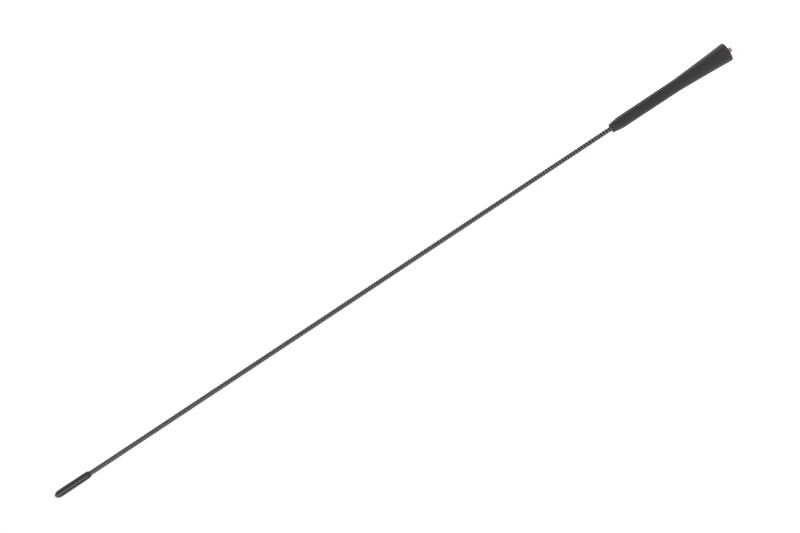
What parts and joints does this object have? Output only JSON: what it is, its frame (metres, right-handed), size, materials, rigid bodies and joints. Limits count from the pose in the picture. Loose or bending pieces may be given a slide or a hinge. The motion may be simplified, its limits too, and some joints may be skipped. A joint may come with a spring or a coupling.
{
  "type": "vehicle radio antenna mast",
  "caption": "Slender black whip mast with spiral ribs, a flared moulded grip with a threaded stud at its base, and a small rounded cap at its tip.",
  "frame": {"origin": "centre of the grip's rim plane, on the stud's axis", "axes": "+Z along the whip towards its tip, with the stud pointing to -Z; +X and +Y are square to it, and the cap's vent hole is 222 degrees round from +X"},
  "size_m": [0.0136, 0.0136, 0.5533],
  "materials": {
    "grip_rubber": "matt moulded black",
    "insert_steel": "turned and zinc plated",
    "solder": "dull solder",
    "glass_fibre": "pultruded rod",
    "copper_wire": "enamelled copper",
    "jacket_plastic": "satin extruded black",
    "cap_plastic": "satin moulded black"
  },
  "bodies": {
    "root": {"grip": "grip_rubber", "threaded_insert": "insert_steel", "solder_joint": "solder", "core_rod": "glass_fibre", "winding": "copper_wire", "jacket": "jacket_plastic", "tip_cap": "cap_plastic"}
  },
  "joints": []
}
